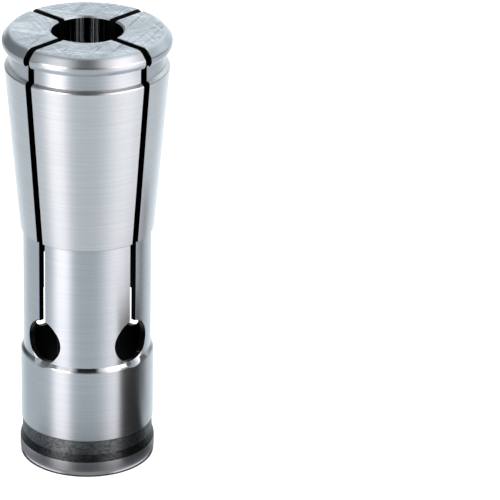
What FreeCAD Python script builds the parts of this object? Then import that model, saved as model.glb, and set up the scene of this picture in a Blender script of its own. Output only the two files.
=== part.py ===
import FreeCAD, Part
import math
import os

# Tapered spring collet, turned from one bar of steel and slotted from the gripping end.
# Frame: origin at the centre of the rear end face, +Z along the axis towards the gripping
# end, the slots on the X and Y axes. Sizes are in millimetres and degrees.

# Turned lengths along the axis, in order from the rear end
flange_chamfer_length = 0.7
flange_land_length = 1.7
groove_slope_length = 1.05
groove_floor_length = 2.1
collar_length = 10.85
collar_slope_length = 0.55
neck_length = 18.25
cone_length = 24.35
head_slope_length = 0.35
head_groove_length = 2.25
rim_bevel_length = 0.6
rim_land_length = 0.7
face_chamfer_length = 1.2

# Outer diameters, steps and the taper
flange_diameter = 19.25
flange_chamfer_width = 0.4
rear_groove_diameter = 18.6
collar_diameter = 18.9
neck_diameter = 18.1
cone_foot_diameter = 18.85
cone_half_angle = 4.9
head_groove_diameter = 21.8
head_shoulder_diameter = 22.95
rim_diameter = 23.65
face_chamfer_width = 1.05
face_corner_rounding = 0.5
turned_edge_break = 0.12

# Bores
grip_diameter = 10.0
grip_mouth_chamfer = 0.25
neck_wall = 0.9
relief_top_below_cone_foot = 2.0
relief_cone_half_angle = 45.0
rear_mouth_chamfer = 0.3

# Slots that let the jaws close, each ending in a drilled hole
slot_count = 4
slot_width = 1.15
slot_edge_break = 0.06
slot_hole_diameter = 6.2
slot_hole_above_collar = 3.5
slot_hole_countersink = 0.3

# How far a cutting tool runs past the surface that it opens
cutter_overrun = 2.0

# Heights of the turned features, from the rear end face
flange_bottom = flange_chamfer_length
flange_top = flange_bottom + flange_land_length
groove_bottom = flange_top + groove_slope_length
collar_bottom = groove_bottom + groove_floor_length
collar_top = collar_bottom + collar_length
neck_bottom = collar_top + collar_slope_length
cone_foot = neck_bottom + neck_length
cone_top = cone_foot + cone_length
head_groove_bottom = cone_top + head_slope_length
head_shoulder = head_groove_bottom + head_groove_length
rim_bottom = head_shoulder + rim_bevel_length
rim_top = rim_bottom + rim_land_length
total_length = rim_top + face_chamfer_length

axis = FreeCAD.Vector(0, 0, 1)
centre = FreeCAD.Vector(0, 0, 0)


def turned(outline):
    """Solid of revolution about Z from a closed outline of (radius, height) points."""
    points = [FreeCAD.Vector(radius, 0, height) for radius, height in outline]
    face = Part.Face(Part.makePolygon(points + points[:1]))
    return face.revolve(centre, axis, 360)


def outer_corners():
    """Corners of the outside as (radius, height) points, from the rear end face up."""
    flange_radius = flange_diameter / 2
    cone_foot_radius = cone_foot_diameter / 2
    cone_top_radius = cone_foot_radius + cone_length * math.tan(math.radians(cone_half_angle))
    return [
        (flange_radius - flange_chamfer_width, 0),
        (flange_radius, flange_bottom),
        (flange_radius, flange_top),
        (rear_groove_diameter / 2, groove_bottom),
        (rear_groove_diameter / 2, collar_bottom),
        (collar_diameter / 2, collar_bottom),
        (collar_diameter / 2, collar_top),
        (neck_diameter / 2, neck_bottom),
        (neck_diameter / 2, cone_foot),
        (cone_foot_radius, cone_foot),
        (cone_top_radius, cone_top),
        (head_groove_diameter / 2, head_groove_bottom),
        (head_groove_diameter / 2, head_shoulder),
        (head_shoulder_diameter / 2, head_shoulder),
        (rim_diameter / 2, rim_bottom),
        (rim_diameter / 2, rim_top),
        (rim_diameter / 2 - face_chamfer_width, total_length),
    ]


def turn_at(before, corner, after):
    """Cross product of the two runs at a corner: above zero where the metal juts out."""
    first_run = (corner[0] - before[0], corner[1] - before[1])
    second_run = (after[0] - corner[0], after[1] - corner[1])
    return first_run[0] * second_run[1] - first_run[1] * second_run[0]


def step_towards(start, end, distance):
    """Point at a distance from start towards end, and no further than a third of the way."""
    run = math.dist(start, end)
    share = min(distance / run, 1 / 3)
    return (start[0] + share * (end[0] - start[0]), start[1] + share * (end[1] - start[1]))


def rounded_corner(before, corner, after, distance):
    """Curve in four steps that leaves the corner's two runs at a distance from it."""
    start = step_towards(corner, before, distance)
    end = step_towards(corner, after, distance)
    curve = []
    for share in (0, 0.25, 0.5, 0.75, 1):
        weights = ((1 - share) ** 2, 2 * share * (1 - share), share ** 2)
        radius = sum(weight * point[0] for weight, point in zip(weights, (start, corner, end)))
        height = sum(weight * point[1] for weight, point in zip(weights, (start, corner, end)))
        curve.append((radius, height))
    return curve


def outer_outline():
    """The outside with each jutting corner broken and the face's own corner rounded."""
    corners = [(0, 0)] + outer_corners() + [(0, total_length)]
    outline = []
    for before, corner, after in zip(corners, corners[1:], corners[2:]):
        if turn_at(before, corner, after) <= 0:
            outline.append(corner)
        elif corner[1] == total_length:
            outline += rounded_corner(before, corner, after, face_corner_rounding)
        else:
            outline.append(step_towards(corner, before, turned_edge_break))
            outline.append(step_towards(corner, after, turned_edge_break))
    return outline


def slot_edge_chamfer(hole_height, side):
    """Cutter that breaks one edge of the slot on +X, along the outside and across the face.

    The outline, sunk by the chamfer's depth at the slot's wall, is swept slantwise outwards
    until it lies on the surface again.
    """
    reach = rim_diameter / 2 + cutter_overrun
    top = total_length + cutter_overrun
    along_slot = [point for point in outer_outline() if point[1] > hole_height]
    outline = [(neck_diameter / 2, hole_height)] + along_slot
    outline += [(0, total_length), (0, top), (reach, top), (reach, hole_height)]
    depth = slot_edge_break
    wall = side * slot_width / 2
    corners = [FreeCAD.Vector(radius - depth, wall, height - depth) for radius, height in outline]
    section = Part.Face(Part.makePolygon(corners + corners[:1]))
    return section.extrude(FreeCAD.Vector(depth, side * depth, depth))


def turned_bar():
    """The bar with its whole outside turned, before any bore or slot."""
    return turned([(0, 0)] + outer_outline() + [(0, total_length)])


def stepped_bore():
    """Gripping bore with its mouth chamfer, and the wider relief bore open to the rear."""
    grip = grip_diameter / 2
    relief = neck_diameter / 2 - neck_wall
    relief_top = cone_foot - relief_top_below_cone_foot
    step_length = (relief - grip) / math.tan(math.radians(relief_cone_half_angle))
    return turned([
        (0, -cutter_overrun),
        (relief + rear_mouth_chamfer + cutter_overrun, -cutter_overrun),
        (relief, rear_mouth_chamfer),
        (relief, relief_top),
        (grip, relief_top + step_length),
        (grip, total_length - grip_mouth_chamfer),
        (grip + grip_mouth_chamfer + cutter_overrun, total_length + cutter_overrun),
        (0, total_length + cutter_overrun),
    ])


def countersunk_hole(hole_height):
    """Radial hole along +X, opened at the neck's surface by a 90 degree countersink."""
    reach = rim_diameter / 2 + cutter_overrun
    outwards = FreeCAD.Vector(1, 0, 0)
    hole_radius = slot_hole_diameter / 2
    hole = Part.makeCylinder(hole_radius, reach, FreeCAD.Vector(0, 0, hole_height), outwards)
    start = neck_diameter / 2 - slot_hole_countersink
    depth = reach - start
    tip = FreeCAD.Vector(start, 0, hole_height)
    return hole.fuse(Part.makeCone(hole_radius, hole_radius + depth, depth, tip, outwards))


def slot_with_hole(hole_height):
    """One saw slot along +X, from the face down to the radial hole at its end."""
    reach = rim_diameter / 2 + cutter_overrun
    slot_length = total_length + cutter_overrun - hole_height
    slot_corner = FreeCAD.Vector(0, -slot_width / 2, hole_height)
    slot = Part.makeBox(reach, slot_width, slot_length, slot_corner)
    edges = [slot_edge_chamfer(hole_height, side) for side in (1, -1)]
    return slot.fuse([countersunk_hole(hole_height)] + edges)


def around_the_axis(cutter):
    """The cutter repeated at every slot position."""
    copies = []
    for index in range(slot_count):
        turn = FreeCAD.Rotation(axis, index * 360 / slot_count)
        copies.append(cutter.transformed(FreeCAD.Placement(centre, turn).toMatrix()))
    return copies


def collet():
    """The finished collet as one solid."""
    hole_height = collar_top + slot_hole_above_collar
    body = turned_bar().cut(stepped_bore())
    return body.cut(around_the_axis(slot_with_hole(hole_height)))


os.makedirs("parts", exist_ok=True)
collet_shape = collet()
collet_shape.exportStep("parts/collet.step")
box = collet_shape.BoundBox
print("solids", len(collet_shape.Solids), "valid", collet_shape.isValid(), "volume", collet_shape.Volume)
print("box", box.XLength, box.YLength, box.ZLength, box.ZMin)
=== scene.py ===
import math

import bpy
import numpy as np
from mathutils import Matrix, Vector


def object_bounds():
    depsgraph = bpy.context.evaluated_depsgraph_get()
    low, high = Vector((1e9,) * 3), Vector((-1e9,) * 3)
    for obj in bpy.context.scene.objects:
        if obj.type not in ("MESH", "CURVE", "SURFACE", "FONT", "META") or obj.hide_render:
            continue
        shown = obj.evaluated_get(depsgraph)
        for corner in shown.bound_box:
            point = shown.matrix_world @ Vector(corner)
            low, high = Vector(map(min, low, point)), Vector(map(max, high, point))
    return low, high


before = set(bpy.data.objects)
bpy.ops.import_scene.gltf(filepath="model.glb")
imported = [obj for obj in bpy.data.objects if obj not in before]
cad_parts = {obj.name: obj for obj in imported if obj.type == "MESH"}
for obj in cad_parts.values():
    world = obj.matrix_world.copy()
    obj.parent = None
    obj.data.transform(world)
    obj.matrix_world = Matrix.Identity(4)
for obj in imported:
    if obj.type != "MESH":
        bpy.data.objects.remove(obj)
cad_low, cad_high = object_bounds()

MM = 0.001
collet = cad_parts["collet"]

# Heights where one turned surface of the collet ends and the next begins, and the radii of
# the neck and of the gripping bore, in millimetres
FLANGE_TOP = 2.4
REAR_GROOVE_FLOOR = 3.45
REAR_GROOVE_TOP = 5.55
COLLAR_TOP = 16.4
NECK_FOOT = 16.95
CONE_FOOT = 35.2
CONE_TOP = 59.55
HEAD_GROOVE_FOOT = 59.9
RIM_FOOT = 62.75
FACE_HEIGHT = cad_high.z / MM
NECK_RADIUS = 9.05
GRIP_RADIUS = 5.0

# Tool steel: colour and roughness of the ground outside and of each other zone, with painted shade
# or painted light in some zone colours
GROUND_COLOUR = "#d4d9e3"
CONE_COLOUR = "#e8ebf3"
GROUND_ROUGHNESS = (0.30, 0.36)
ZONE_COLOURS_WITH_PAINTED_LIGHT = {
    "groove": "#6f7478",
    # Painted shade: the slope down into the rear groove, with the edge above it, darker still than
    # the groove
    "groove_slope": "#404346",
    # Painted shade: darker than the ground steel, which dims the collar slope's mirrored light
    "collar_slope": "#c2c8ce",
    # Painted light: paler, which lightens the slope that lies in the shade under the head
    "head_slope": "#f4f6f8",
}
# Painted shade: near black for the walls of the slots, holes and rear bore
INSIDE_SHADE_COLOUR = "#2b2d2f"
SCORED_COLOUR = "#8f9296"
BORE_COLOUR = "#b4b8bc"
ZONE_ROUGHNESS = {
    "collar_slope": 0.08,
    "head_slope": 0.26,
    "groove": 0.48,
    "groove_slope": 0.45,
    "inside": 0.45,
    "bore": 0.045,
}
GRINDING_SHEEN = 0.65
MARK_DEPTH = 0.000002

# Stoning marks on the gripping face: direction in degrees, length, width and seed
BRIGHT_MARKS = ((28, 9.0, 0.3, 3.7), (158, 6.0, 0.25, 5.2))
DARK_MARKS = ((75, 6.0, 0.3, 8.3), (112, 9.0, 0.5, 2.9))

# Soft panels of the studio: centre and half width by bearing from the camera, side edge,
# lowest and highest, all in degrees
LEFT_PANEL = (-44.6, 14.8, 5, -14, 58)
RIGHT_PANEL = (55.3, 22.9, 18, -17, 72)
DARK_CORNER = (-140, 18, 8, -6, 22)
DARK_CORNER_LEVEL = 0.12
FILL_PANELS = (
    (0.55, (122, 34, 12, 14, 76)),
    (0.6, (-57, 35, 5, 36, 66)),
    (0.6, (57, 35, 5, 36, 66)),
    (0.18, (-105, 35, 12, 5, 66)),
    (0.5, (126, 12, 8, 2, 28)),
)
COOL_LIGHT = "#f7ffff"
WARM_LIGHT = "#fff7f0"

# Floor, with its half width in metres, and the dark cards of painted reflection, with the radius
# in millimetres at which they stand around the collet
FLOOR_HALF_WIDTH = 1.2
# Painted shadow: tone of the paper just under the collet's edge
CONTACT_SHADOW_COLOUR = "#3c3c3c"
PAPER_COLOUR = "#e6e6e6"
PAPER_GLOW = 0.85
CARD_RADIUS = 24.0
CARD_STEPS = 13

# The photograph's camera: 500 pixels square, focal length in pixels on a 36 mm sensor,
# angles in degrees, distance and aim in metres
IMAGE_WIDTH = 500
FOCAL_PIXELS = 3791.6
SENSOR_MM = 36.0
CAMERA_AZIMUTH = 44.7
CAMERA_ELEVATION = 24.58
CAMERA_DISTANCE = 0.5364
AIM_HEIGHT = 0.0312
AXIS_PIXEL_X = 87.3

WHITE = (1, 1, 1, 1)


def linear(hex_colour):
    """Linear RGBA from an sRGB hex value."""
    channels = [int(hex_colour[i:i + 2], 16) / 255 for i in (1, 3, 5)]
    curve = [c / 12.92 if c <= 0.04045 else ((c + 0.055) / 1.055) ** 2.4 for c in channels]
    return (*curve, 1.0)


def add(tree, kind, settings=(), **inputs):
    """Adds one node. Settings are attribute pairs; inputs are values or sockets to link."""
    node = tree.nodes.new(kind)
    for name, value in dict(settings).items():
        setattr(node, name, value)
    for name, value in inputs.items():
        key = int(name[1:]) if name[0] == "i" and name[1:].isdigit() else name.replace("_", " ")
        socket = node.inputs[key]
        if isinstance(value, bpy.types.NodeSocket):
            tree.links.new(value, socket)
        else:
            socket.default_value = value
    return node


def maths(tree, operation, *values):
    """One Math node on values or sockets."""
    inputs = {f"i{i}": value for i, value in enumerate(values)}
    return add(tree, "ShaderNodeMath", {"operation": operation}, **inputs).outputs[0]


def times(tree, first, second):
    """Product of two values or sockets."""
    return maths(tree, "MULTIPLY", first, second)


def plus(tree, first, second):
    """Sum of two values or sockets."""
    return maths(tree, "ADD", first, second)


def rest(tree, share):
    """What a share leaves of 1."""
    return maths(tree, "SUBTRACT", 1.0, share)


def ramp(tree, value, start, end, low=0.0, high=1.0):
    """Smooth step of a value from low at start to high at end; start may be above end."""
    settings = {"interpolation_type": "SMOOTHSTEP"}
    inputs = {"Value": value, "From_Min": start, "From_Max": end, "To_Min": low, "To_Max": high}
    return add(tree, "ShaderNodeMapRange", settings, **inputs).outputs[0]


def blend(tree, share, first, second):
    """first where the share is 0 and second where it is 1."""
    span = maths(tree, "SUBTRACT", second, first)
    return maths(tree, "MULTIPLY_ADD", span, share, first)


def zone(tree, value, low, high, edge=0.02):
    """1 between two values and 0 outside them, with a soft edge."""
    return times(
        tree,
        ramp(tree, value, low - edge, low + edge),
        ramp(tree, value, high + edge, high - edge),
    )


def mix_colour(tree, share, first, second, blend_type="MIX"):
    """Colour mix of two colours or sockets."""
    settings = {"data_type": "RGBA", "blend_type": blend_type}
    return add(tree, "ShaderNodeMix", settings, i0=share, i6=first, i7=second).outputs[2]


def mix_shader(tree, share, first, second):
    """First shader where the share is 0 and second where it is 1."""
    return add(tree, "ShaderNodeMixShader", i0=share, i1=first, i2=second).outputs[0]


def of_vector(tree, operation, vector, **inputs):
    """One Vector Math node on a vector."""
    return add(tree, "ShaderNodeVectorMath", {"operation": operation}, i0=vector, **inputs)


def glow(tree, level):
    """White light that a surface sends out, at a level."""
    return add(tree, "ShaderNodeEmission", Color=WHITE, Strength=level).outputs[0]


def direction(azimuth, elevation):
    """Unit vector from the object towards an azimuth and an elevation in degrees.

    Azimuth 0 is the side at -Y, and it grows towards +X.
    """
    a, e = math.radians(azimuth), math.radians(elevation)
    return Vector((math.sin(a) * math.cos(e), -math.cos(a) * math.cos(e), math.sin(e)))


def along_direction(tree, position, azimuth):
    """Distance of a place from the axis along a level direction, in metres."""
    return of_vector(tree, "DOT_PRODUCT", position, i1=direction(azimuth, 0)).outputs[1]


def new_material(name):
    """Empty material and its node tree."""
    material = bpy.data.materials.new(name)
    material.use_nodes = True
    material.node_tree.nodes.clear()
    return material, material.node_tree


def object_place(tree):
    """Where a point lies on its own object."""
    return add(tree, "ShaderNodeTexCoord").outputs["Object"]


def turned_places(tree):
    """Where a point lies on the turned part, in millimetres.

    Gives x, y, height, radius, arc length around the axis at the neck's radius, and the run
    along the profile (radius plus height), which counts turning marks on walls and faces alike.
    """
    in_mm = of_vector(tree, "SCALE", object_place(tree), Scale=1 / MM).outputs[0]
    x, y, height = add(tree, "ShaderNodeSeparateXYZ", Vector=in_mm).outputs
    radius = maths(tree, "SQRT", plus(tree, times(tree, x, x), times(tree, y, y)))
    arc = times(tree, maths(tree, "ARCTAN2", y, x), NECK_RADIUS)
    return x, y, height, radius, arc, plus(tree, radius, height)


def turned_by(tree, x, y, degrees):
    """The place x, y as lengths along and across a direction turned by an angle."""
    c, s = math.cos(math.radians(degrees)), math.sin(math.radians(degrees))
    along = plus(tree, times(tree, x, c), times(tree, y, s))
    across = maths(tree, "SUBTRACT", times(tree, y, c), times(tree, x, s))
    return along, across


def streaks(tree, along, across, long_mm, fine_mm, detail=3.0, seed=0.0):
    """Noise drawn out along one coordinate: long_mm is a streak's length and fine_mm its width."""
    stretched = add(
        tree,
        "ShaderNodeCombineXYZ",
        X=maths(tree, "DIVIDE", along, long_mm),
        Y=maths(tree, "DIVIDE", across, fine_mm),
        Z=seed,
    ).outputs[0]
    settings = {"Scale": 1.0, "Detail": detail, "Roughness": 0.6}
    return add(tree, "ShaderNodeTexNoise", Vector=stretched, **settings).outputs[0]


def inside_walls(tree, x, y, height):
    """Share of slots, holes and bores: walls that do not face outwards, but no end face."""
    level_place = add(tree, "ShaderNodeCombineXYZ", X=x, Y=y).outputs[0]
    outwards = of_vector(tree, "NORMALIZE", level_place).outputs[0]
    normal = add(tree, "ShaderNodeNewGeometry").outputs["Normal"]
    facing = of_vector(tree, "DOT_PRODUCT", outwards, i1=normal).outputs[1]
    upwards = add(tree, "ShaderNodeSeparateXYZ", Vector=normal).outputs[2]
    above_rim_foot = ramp(tree, height, RIM_FOOT, RIM_FOOT + 0.1)
    gripping_face = times(tree, ramp(tree, upwards, 0.3, 0.6), above_rim_foot)
    end_faces = maths(tree, "MAXIMUM", gripping_face, ramp(tree, height, 0.05, 0.02))
    return times(tree, ramp(tree, facing, 0.55, 0.35), rest(tree, end_faces))


def steel_zones(tree, x, y, height, radius):
    """Share of each zone of the collet that has its own finish, painted shade or painted light, by
    name.
    """
    inside = inside_walls(tree, x, y, height)
    gripping = ramp(tree, radius, GRIP_RADIUS + 0.1, GRIP_RADIUS + 0.05)
    return {
        "groove": zone(tree, height, FLANGE_TOP - 0.1, REAR_GROOVE_TOP),
        "groove_slope": zone(tree, height, FLANGE_TOP - 0.1, REAR_GROOVE_FLOOR),
        "cone": zone(tree, height, CONE_FOOT, CONE_TOP),
        "collar_slope": zone(tree, height, COLLAR_TOP + 0.06, NECK_FOOT),
        "head_slope": zone(tree, height, CONE_TOP + 0.06, HEAD_GROOVE_FOOT),
        "face": ramp(tree, height, FACE_HEIGHT - 0.06, FACE_HEIGHT - 0.02),
        "inside": inside,
        "bore": times(tree, inside, gripping),
    }


def stoning_marks(tree, x, y, marks):
    """The stronger of crossing straight scratches on the gripping face."""
    runs = [
        streaks(tree, *turned_by(tree, x, y, degrees), long_mm, fine_mm, seed=seed)
        for degrees, long_mm, fine_mm, seed in marks
    ]
    return maths(tree, "MAXIMUM", *runs)


def ground_steel():
    """Hardened tool steel, ground round on centres: bright bands along the axis.

    The wheel leaves circular scratches too fine to see singly, so light spreads along the
    axis and stays sharp around it. The gripping face is stoned by hand, with crossing
    scratches. The rear groove is only turned and left dark, matt and grainy. The sawn slots,
    drilled holes and rear bore are matt and coloured near black, as painted shade, with lighter
    saw streaks, and the gripping bore is smooth enough to mirror. The slopes down into the
    rear groove and onto the collar are coloured darker, as painted shade, and the slope under
    the head paler, as painted light.
    """
    material, tree = new_material("ground_tool_steel")
    x, y, height, radius, arc, run = turned_places(tree)
    around = add(tree, "ShaderNodeCombineXYZ", X=times(tree, y, -1.0), Y=x).outputs[0]
    tangent = of_vector(tree, "NORMALIZE", around).outputs[0]
    zones = steel_zones(tree, x, y, height, radius)

    # Marks: grinding lines 0.25 mm apart (coarser than real, so that they show), long flats
    # along the axis where the wheel chattered, and the face's scratches over worn patches
    lines = streaks(tree, arc, run, 14.0, 0.25, seed=1.3)
    chatter = streaks(tree, height, arc, 60.0, 1.1, seed=7.1)
    bright_marks = ramp(tree, stoning_marks(tree, x, y, BRIGHT_MARKS), 0.53, 0.68)
    dark_marks = ramp(tree, stoning_marks(tree, x, y, DARK_MARKS), 0.53, 0.72)
    scratches = maths(tree, "SUBTRACT", bright_marks, dark_marks)
    patches = streaks(tree, *turned_by(tree, x, y, 50), 5.0, 2.2, seed=6.4)
    worn = ramp(tree, patches, 0.35, 0.65)
    grains = streaks(tree, arc, run, 0.5, 0.3, detail=2.0, seed=4.6)
    saw_lines = streaks(tree, height, arc, 90.0, 0.45, seed=2.2)
    smudge_size = {"Scale": 180.0, "Detail": 4.0, "Roughness": 0.6}
    smudge = add(tree, "ShaderNodeTexNoise", Vector=object_place(tree), **smudge_size).outputs[0]

    colour = mix_colour(tree, zones["cone"], linear(GROUND_COLOUR), linear(CONE_COLOUR))
    # Zone colours, with painted shade on the groove and collar slopes and painted light on the
    # head slope
    for name, zone_colour in ZONE_COLOURS_WITH_PAINTED_LIGHT.items():
        colour = mix_colour(tree, zones[name], colour, linear(zone_colour))
    # Painted shade: slots, holes and rear bore near black, with lighter saw streaks
    scored = ramp(tree, saw_lines, 0.66, 0.74)
    inside_shade_and_saw_streaks = mix_colour(tree, scored, linear(INSIDE_SHADE_COLOUR), linear(SCORED_COLOUR))
    colour = mix_colour(tree, zones["inside"], colour, inside_shade_and_saw_streaks)
    colour = mix_colour(tree, zones["bore"], colour, linear(BORE_COLOUR))

    line_shade = ramp(tree, lines, 0.3, 0.7, 0.95, 1.03)
    scratch_strength = blend(tree, worn, 0.24, 0.6)
    face_shade = blend(tree, worn, 0.82, 0.96)
    scratch_shade = maths(tree, "MULTIPLY_ADD", scratches, scratch_strength, face_shade)
    speckle = ramp(tree, grains, 0.32, 0.68, 0.66, 1.36)
    shade = blend(tree, zones["face"], line_shade, scratch_shade)
    shade = blend(tree, zones["groove"], shade, speckle)
    colour = mix_colour(tree, 1.0, colour, shade, "MULTIPLY")

    roughness = blend(tree, smudge, *GROUND_ROUGHNESS)
    for name, zone_roughness in ZONE_ROUGHNESS.items():
        roughness = blend(tree, zones[name], roughness, zone_roughness)
    mirrors = maths(tree, "MAXIMUM", zones["collar_slope"], zones["bore"])
    grain = blend(tree, mirrors, GRINDING_SHEEN, 0.0)

    marks = blend(tree, zones["face"], lines, scratches)
    relief = plus(tree, times(tree, marks, 0.6), times(tree, chatter, 1.2))
    bump = add(tree, "ShaderNodeBump", Strength=0.5, Distance=MARK_DEPTH, Height=relief)

    shader = add(
        tree,
        "ShaderNodeBsdfPrincipled",
        Base_Color=colour,
        Metallic=1.0,
        Roughness=roughness,
        Anisotropic=grain,
        Anisotropic_Rotation=0.25,
        Tangent=tangent,
        Normal=bump.outputs[0],
    )
    add(tree, "ShaderNodeOutputMaterial", Surface=shader.outputs[0])
    return material


def mirrored_floor(tree, position, from_axis):
    """What the steel sees of the floor: the room through it, apart from a few painted places.

    These are painted shade for the collet's own shade in front of it and close round it,
    painted shade on the floor right under its edge with painted light at the sides, and a
    painted dark reflection, a black patch at the right between the collet and the upright
    cards. Distances forwards are in metres, and others in millimetres.
    """
    forwards = along_direction(tree, position, CAMERA_AZIMUTH)
    sideways = along_direction(tree, position, CAMERA_AZIMUTH + 90)
    bearing = maths(tree, "DEGREES", maths(tree, "ARCTAN2", sideways, forwards))

    # Painted shade: the collet's own shade on the floor in front of it and close round it
    in_front = times(
        tree,
        ramp(tree, from_axis, 24.5, 13.5),
        ramp(tree, forwards, 0.001, 0.010),
    )
    painted_shade_ring = maths(tree, "MAXIMUM", in_front, ramp(tree, from_axis, 14.0, 11.7))
    painted_shade_level = ramp(tree, forwards, 0.001, 0.008, 0.17, 0.03)

    # Painted shade on the floor under the edge, with painted light at the sides
    under_edge = ramp(tree, from_axis, 11.7, 10.3)
    at_sides = times(
        tree,
        ramp(tree, forwards, 0.0089, 0.0083),
        ramp(tree, from_axis, 9.6, 9.4),
    )
    edge_shade_and_light = blend(tree, at_sides, 0.3, 1.1)

    # Painted reflection: a black patch on the floor at the right, which only the steel sees
    card = times(tree, zone(tree, bearing, 42, 90, 4), zone(tree, from_axis, 11, 26, 2))
    level = times(tree, blend(tree, under_edge, painted_shade_level, edge_shade_and_light), rest(tree, card))
    clear = add(tree, "ShaderNodeBsdfTransparent").outputs[0]
    return mix_shader(tree, maths(tree, "MAXIMUM", painted_shade_ring, card), clear, glow(tree, level))


def studio_paper():
    """White paper, with a painted line of shadow where the collet's edge meets it."""
    material, tree = new_material("white_studio_paper")
    rays = add(tree, "ShaderNodeLightPath").outputs
    position = object_place(tree)
    from_axis = maths(tree, "DIVIDE", of_vector(tree, "LENGTH", position).outputs[1], MM)
    # Painted shadow: darker paper that gives off no light just under the collet's edge
    clear_of_edge = ramp(tree, from_axis, 9.4, 9.7)
    tone = mix_colour(tree, clear_of_edge, linear(CONTACT_SHADOW_COLOUR), linear(PAPER_COLOUR))
    paper = add(tree, "ShaderNodeBsdfDiffuse", Color=tone).outputs[0]
    own_light = glow(tree, times(tree, clear_of_edge, PAPER_GLOW))
    seen = add(tree, "ShaderNodeAddShader", i0=paper, i1=own_light).outputs[0]
    to_camera = mix_shader(tree, rays["Is Camera Ray"], paper, seen)
    mirrored = mirrored_floor(tree, position, from_axis)
    surface = mix_shader(tree, rays["Is Glossy Ray"], to_camera, mirrored)
    add(tree, "ShaderNodeOutputMaterial", Surface=surface)
    return material


def surface_object(name, points, faces, material):
    """New object in the scene from the points in metres and the faces of its surface."""
    mesh = bpy.data.meshes.new(name)
    mesh.from_pydata(points, [], faces)
    surface = bpy.data.objects.new(name, mesh)
    bpy.context.scene.collection.objects.link(surface)
    mesh.materials.append(material)
    return surface


def floor():
    """Level paper floor under the collet."""
    half = FLOOR_HALF_WIDTH
    corners = [(-half, -half, 0), (half, -half, 0), (half, half, 0), (-half, half, 0)]
    sheet = surface_object("studio_floor", corners, [(0, 1, 2, 3)], studio_paper())


def painted_reflection_surface(name, level):
    """Painted reflection: a card of a level of grey that only the steel's reflections show."""
    material, tree = new_material(name)
    clear = add(tree, "ShaderNodeBsdfTransparent").outputs[0]
    rays = add(tree, "ShaderNodeLightPath").outputs
    surface = mix_shader(tree, rays["Is Glossy Ray"], clear, glow(tree, level))
    add(tree, "ShaderNodeOutputMaterial", Surface=surface)
    return material


def painted_reflection_card(name, start, end, height, level):
    """Upright card at the right, curved about the collet, that shows only in the steel, as a
    painted dark reflection.

    It stands between two bearings from the camera, and its height is in millimetres. The
    points are level arcs of CARD_RADIUS at the floor and at the card's top edge.
    """
    turns = np.radians(CAMERA_AZIMUTH + np.linspace(start, end, CARD_STEPS))
    arc = np.column_stack((np.sin(turns), -np.cos(turns))) * CARD_RADIUS
    low = np.column_stack((arc, np.zeros(turns.size)))
    high = np.column_stack((arc, np.full(turns.size, height)))
    first = np.arange(turns.size - 1)
    faces = np.column_stack((first, first + 1, first + 1 + turns.size, first + turns.size))
    points = np.vstack((low, high)) * MM
    card = surface_object(name, points.tolist(), faces.tolist(), painted_reflection_surface(name, level))


def soft_panel(tree, bearing, height, centre, half_width, side_edge, low, high):
    """Share of a soft-edged panel of light seen at a bearing and a height, in degrees."""
    off_centre = maths(tree, "ABSOLUTE", maths(tree, "SUBTRACT", bearing, centre))
    across = ramp(tree, off_centre, half_width + side_edge, half_width - side_edge)
    above_foot = ramp(tree, height, low - 18, low + 18)
    below_top = ramp(tree, height, high + 14, high - 14)
    return times(tree, across, times(tree, above_foot, below_top))


def bearing_and_height(tree):
    """Bearing from the camera, positive to its right, and height of a way, in degrees."""
    way = add(tree, "ShaderNodeTexCoord").outputs["Generated"]
    x, y, up = add(tree, "ShaderNodeSeparateXYZ", Vector=way).outputs
    c, s = math.cos(math.radians(CAMERA_AZIMUTH)), math.sin(math.radians(CAMERA_AZIMUTH))
    to_camera = maths(tree, "SUBTRACT", times(tree, x, s), times(tree, y, c))
    to_right = plus(tree, times(tree, x, c), times(tree, y, s))
    bearing = maths(tree, "DEGREES", maths(tree, "ARCTAN2", to_right, to_camera))
    return bearing, maths(tree, "DEGREES", maths(tree, "ARCSINE", up))


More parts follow.
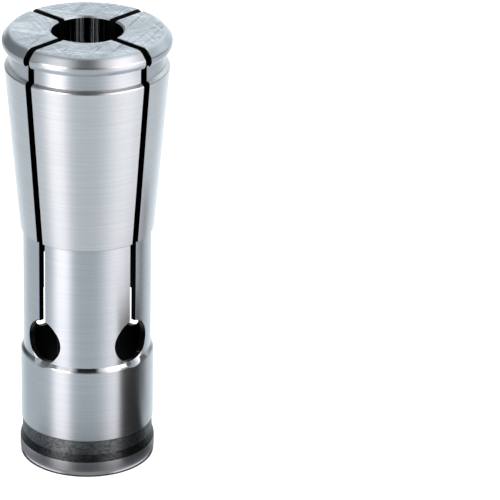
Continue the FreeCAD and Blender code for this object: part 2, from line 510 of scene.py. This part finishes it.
def studio_room():
    """The studio around the collet, by bearing from the camera and height, in degrees.

    White paper below and behind, a dark room in front with a faint ceiling, a strong soft
    panel of light on each side, weaker ones that fill in above and behind, and a dark corner
    behind at the left. The camera itself sees white.
    """
    room = bpy.data.worlds.new("studio_room")
    bpy.context.scene.world = room
    room.use_nodes = True
    tree = room.node_tree
    tree.nodes.clear()
    bearing, height = bearing_and_height(tree)

    behind = ramp(tree, maths(tree, "ABSOLUTE", bearing), 123, 168)
    below = ramp(tree, height, 6, -16)
    ceiling = times(tree, ramp(tree, height, 50, 64), ramp(tree, height, 80, 70))
    front = blend(tree, below, blend(tree, ceiling, 0.03, 0.16), 0.63)
    back = blend(tree, below, 0.9, 1.2)
    paper = blend(tree, behind, front, back)
    for level, sizes in FILL_PANELS:
        fill = soft_panel(tree, bearing, height, *sizes)
        paper = maths(tree, "MULTIPLY_ADD", fill, level, paper)
    corner = soft_panel(tree, bearing, height, *DARK_CORNER)
    paper = blend(tree, corner, paper, DARK_CORNER_LEVEL)

    left = soft_panel(tree, bearing, height, *LEFT_PANEL)
    left_light = times(tree, left, ramp(tree, height, 18, 44, 4.3, 1.3))
    right = soft_panel(tree, bearing, height, *RIGHT_PANEL)
    right_light = times(tree, right, ramp(tree, height, 36, 64, 2.52, 1.05))
    panels = plus(tree, left_light, right_light)
    paper = times(tree, paper, rest(tree, maths(tree, "MAXIMUM", left, right)))

    cool = add(tree, "ShaderNodeBackground", Color=linear(COOL_LIGHT), Strength=paper)
    warm = add(tree, "ShaderNodeBackground", Color=linear(WARM_LIGHT), Strength=panels)
    lit = add(tree, "ShaderNodeAddShader", i0=cool.outputs[0], i1=warm.outputs[0]).outputs[0]
    white = add(tree, "ShaderNodeBackground", Color=WHITE, Strength=1.0).outputs[0]
    rays = add(tree, "ShaderNodeLightPath").outputs
    surface = mix_shader(tree, rays["Is Camera Ray"], lit, white)
    add(tree, "ShaderNodeOutputWorld", Surface=surface)


def camera():
    """Camera of the photograph: from above, aimed beside the collet, which lands at the left."""
    data = bpy.data.cameras.new("photo_camera")
    data.sensor_width = SENSOR_MM
    data.lens = FOCAL_PIXELS * SENSOR_MM / IMAGE_WIDTH
    data.clip_start = 0.01
    data.clip_end = 10
    holder = bpy.data.objects.new("photo_camera", data)
    bpy.context.scene.collection.objects.link(holder)
    back = direction(CAMERA_AZIMUTH, CAMERA_ELEVATION)
    place = Vector((0, 0, AIM_HEIGHT)) + back * CAMERA_DISTANCE
    to_the_right = math.atan((IMAGE_WIDTH / 2 - AXIS_PIXEL_X) / FOCAL_PIXELS)
    aim = (-back).to_track_quat("-Z", "Y").to_matrix().to_4x4()
    holder.matrix_world = Matrix.Translation(place) @ aim @ Matrix.Rotation(-to_the_right, 4, "Y")
    bpy.context.scene.camera = holder


steel = ground_steel()
for slot in collet.material_slots:
    slot.material = steel

floor()
# Painted reflections: upright cards that only the steel shows, which draw dark bands down the
# collar and neck
painted_reflection_card("black_painted_reflection", 46, 88, 20.0, 0.0)
painted_reflection_card("grey_painted_reflection", 88, 101, 34.0, 0.2)
studio_room()
camera()

bpy.context.scene.view_settings.view_transform = "Standard"
